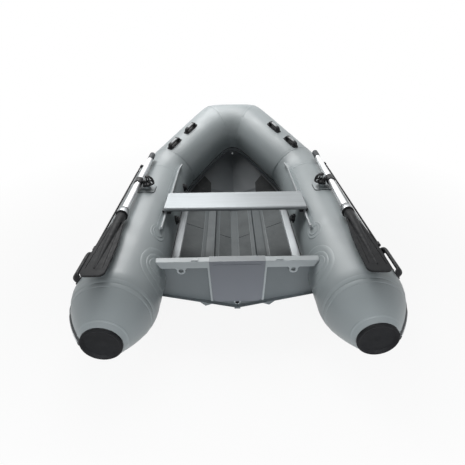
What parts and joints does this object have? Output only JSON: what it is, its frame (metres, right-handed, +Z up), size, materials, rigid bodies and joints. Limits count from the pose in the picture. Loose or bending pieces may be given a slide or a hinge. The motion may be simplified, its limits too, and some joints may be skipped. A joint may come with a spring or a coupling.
{
  "type": "rigid-hull inflatable dinghy",
  "caption": "Small tender with a folded aluminium V-hull between grey air tubes, with a transom motor pad, sliding bench, swinging oars, carry handles and lifelines.",
  "frame": {"origin": "middle of the length and beam, at the bottom of the keel", "axes": "+Y towards the bow, +X to starboard, +Z up"},
  "size_m": [1.654, 2.7156, 0.711],
  "materials": {
    "hull": "satin",
    "floor_frame": "satin",
    "bare_rail": "satin",
    "mat": "matte",
    "pad": "matte",
    "black_rubber": "matte",
    "tube": "satin",
    "cap": "satin",
    "strake": "satin",
    "strip": "satin",
    "bench": "satin",
    "fitting": "satin",
    "lock_base": "satin",
    "oar_tube": "satin",
    "grip": "matte",
    "collar": "satin",
    "blade": "satin",
    "rope": "matte"
  },
  "bodies": {
    "boat": {"hull_bottom_port": "hull", "hull_bottom_starboard": "hull", "bow_plate_port": "hull", "bow_plate_starboard": "hull", "keel_bar": "hull", "spray_rails": "hull", "cradles": "hull", "stringers": "floor_frame", "floor_rails": "bare_rail", "centre_strip": "floor_frame", "mats": "mat", "bow_gusset": "bare_rail", "transom_plate": "hull", "transom_rail": "hull", "transom_ribs": "hull", "motor_pad_outer": "pad", "motor_pad_inner": "pad", "davit_eyes": "bare_rail", "drain_socket": "bare_rail", "side_tube_port": "tube", "side_tube_starboard": "tube", "shoulder_port": "tube", "shoulder_starboard": "tube", "quarter_port": "tube", "quarter_starboard": "tube", "bow_gore_port": "tube", "bow_gore_starboard": "tube", "cone_port": "tube", "cone_starboard": "tube", "end_caps": "cap", "bulkheads": "tube", "strake_port": "strake", "strake_starboard": "strake", "seat_strips": "strip", "oarlock_bases": "lock_base", "bow_handles": "black_rubber", "stern_handles": "black_rubber", "lifeline_port": "rope", "lifeline_starboard": "rope", "lifeline_eyes": "fitting", "valve_bodies": "fitting"},
    "bench": {"bench": "bench", "bench_holders": "fitting"},
    "swivel_port": {"swivel_port": "fitting"},
    "swivel_starboard": {"swivel_starboard": "fitting"},
    "oar_port": {"oar_sleeve_port": "fitting", "oar_shaft_port": "oar_tube", "oar_grip_port": "grip", "oar_collar_port": "collar", "oar_blade_port": "blade"},
    "oar_starboard": {"oar_sleeve_starboard": "fitting", "oar_shaft_starboard": "oar_tube", "oar_grip_starboard": "grip", "oar_collar_starboard": "collar", "oar_blade_starboard": "blade"},
    "drain_plug": {"drain_plug": "black_rubber"},
    "valve_cap_port": {"valve_cap_port": "fitting"},
    "valve_cap_starboard": {"valve_cap_starboard": "fitting"},
    "valve_cap_bow": {"valve_cap_bow": "fitting"}
  },
  "joints": [
    {"name": "bench_slide", "type": "slide", "parent": "boat", "child": "bench", "axis": [0, 1, 0], "range_m": [-0.19, 0.48]},
    {"name": "oar_swing_port", "type": "hinge", "parent": "boat", "child": "swivel_port", "pos_m": [-0.597, -0.18176, 0.492], "axis": [0, 0, 1], "range_deg": [-95, 0]},
    {"name": "oar_swing_starboard", "type": "hinge", "parent": "boat", "child": "swivel_starboard", "pos_m": [0.597, -0.18176, 0.492], "axis": [0, 0, 1], "range_deg": [0, 95]},
    {"name": "oar_dip_port", "type": "hinge", "parent": "swivel_port", "child": "oar_port", "pos_m": [-0.647, -0.1819, 0.492], "axis": [-1, -0.0026, 0], "range_deg": [-1.6, 1.6]},
    {"name": "oar_dip_starboard", "type": "hinge", "parent": "swivel_starboard", "child": "oar_starboard", "pos_m": [0.64698, -0.18301, 0.492], "axis": [-0.9997, 0.025, 0], "range_deg": [-1.6, 1.6]},
    {"name": "drain_plug_pull", "type": "slide", "parent": "boat", "child": "drain_plug", "axis": [0, -0.9977, -0.068], "range_m": [0, 0.045]},
    {"name": "valve_turn_port", "type": "hinge", "parent": "boat", "child": "valve_cap_port", "pos_m": [-0.38342, -0.32276, 0.27507], "axis": [0.9848, 0, 0.1736], "range_deg": [0, 90]},
    {"name": "valve_turn_starboard", "type": "hinge", "parent": "boat", "child": "valve_cap_starboard", "pos_m": [0.38342, -0.32276, 0.27507], "axis": [-0.9848, 0, 0.1736], "range_deg": [0, 90]},
    {"name": "valve_turn_bow", "type": "hinge", "parent": "boat", "child": "valve_cap_bow", "pos_m": [-0.38342, 0.20633, 0.27507], "axis": [0.9848, 0, 0.1736], "range_deg": [0, 90]}
  ]
}
